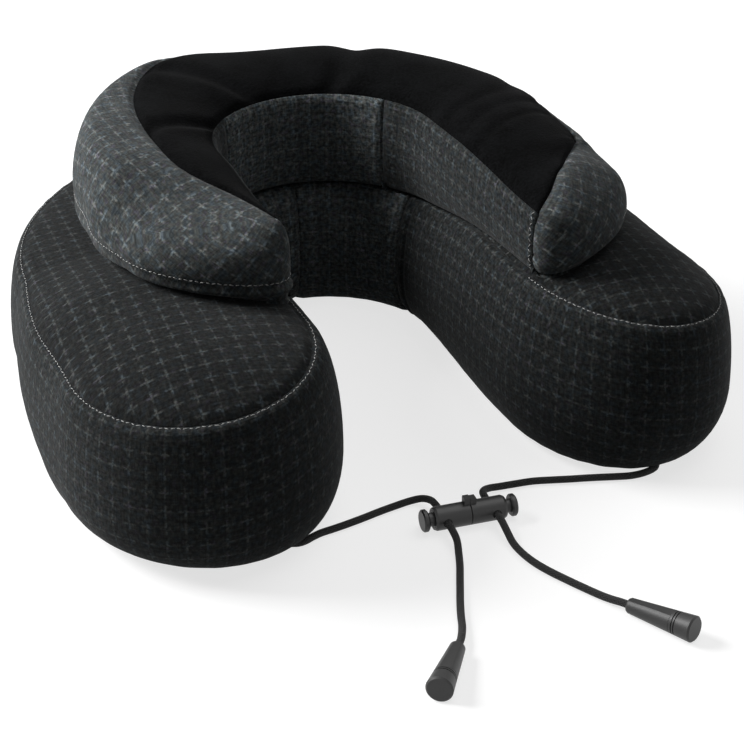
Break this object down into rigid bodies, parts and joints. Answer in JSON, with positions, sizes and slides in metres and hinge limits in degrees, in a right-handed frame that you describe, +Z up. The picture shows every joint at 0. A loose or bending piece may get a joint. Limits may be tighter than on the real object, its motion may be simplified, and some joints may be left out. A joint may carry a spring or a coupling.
{
  "type": "U-shaped neck pillow",
  "caption": "Charcoal U-shaped travel neck pillow with a raised crescent roll, plush top, rear zip, and drawcords joined by a sprung barrel clasp.",
  "frame": {"origin": "Centre of the box of the pillow's walls and zip, on the surface it lies on; cords and clasp are not counted.", "axes": "Z is up, -Y points to the open front of the U where the cords are, +X is to the right as seen from the front."},
  "size_m": [0.276, 0.3766, 0.11],
  "materials": {
    "foam": "open-cell memory foam",
    "check_fabric": "charcoal knit with a lattice of small lighter crosses",
    "rib_fabric": "charcoal stretch rib",
    "plush": "black short-pile plush",
    "zip_tape": "woven tape",
    "zip_nylon": "nylon coil",
    "zip_metal": "black painted die-cast zinc",
    "clasp_plastic": "moulded, lightly glossy",
    "spring_steel": "bright wire",
    "cord": "braided round cord",
    "end_plastic": "moulded, satin"
  },
  "bodies": {
    "pillow": {"lower_foam": "foam", "upper_foam": "foam", "base_panel": "check_fabric", "lower_top_panel": "check_fabric", "left_side_band": "check_fabric", "right_side_band": "check_fabric", "upper_back_band": "check_fabric", "lower_back_band": "check_fabric", "left_neck_panel": "rib_fabric", "right_neck_panel": "rib_fabric", "plush_top_panel": "plush", "left_roll_side": "check_fabric", "right_roll_side": "check_fabric", "roll_neck_panel": "rib_fabric", "left_roll_neck": "rib_fabric", "right_roll_neck": "rib_fabric", "zip_tapes": "zip_tape", "zip_coil": "zip_nylon", "zip_stops": "zip_nylon", "left_clasp_half": "clasp_plastic", "right_clasp_half": "clasp_plastic", "left_spring": "spring_steel", "right_spring": "spring_steel", "left_cord": "cord", "right_cord": "cord", "left_cord_end": "end_plastic", "right_cord_end": "end_plastic", "left_end_lid": "end_plastic", "right_end_lid": "end_plastic", "left_knot": "cord", "right_knot": "cord"},
    "left_button": {"left_button": "clasp_plastic"},
    "right_button": {"right_button": "clasp_plastic"},
    "zip_slider": {"zip_slider": "zip_metal"},
    "zip_pull": {"zip_pull": "zip_metal"}
  },
  "joints": [
    {"name": "left_button_press", "type": "slide", "parent": "pillow", "child": "left_button", "axis": [1, 0, 0], "range_m": [0, 0.002], "stiffness_N_per_m": 800, "springref_m": -0.002, "deforming": ["left_spring"]},
    {"name": "right_button_press", "type": "slide", "parent": "pillow", "child": "right_button", "axis": [-1, 0, 0], "range_m": [0, 0.002], "stiffness_N_per_m": 800, "springref_m": -0.002, "deforming": ["right_spring"]},
    {"name": "zip_travel", "type": "hinge", "parent": "pillow", "child": "zip_slider", "pos_m": [0.00074, 0.01361, 0.026], "axis": [0, 0, 1], "range_deg": [0, 65.8]},
    {"name": "pull_swing", "type": "hinge", "parent": "zip_slider", "child": "zip_pull", "pos_m": [0.0745, 0.12703, 0.026], "axis": [0, 0, -1], "range_deg": [0, 150]}
  ]
}
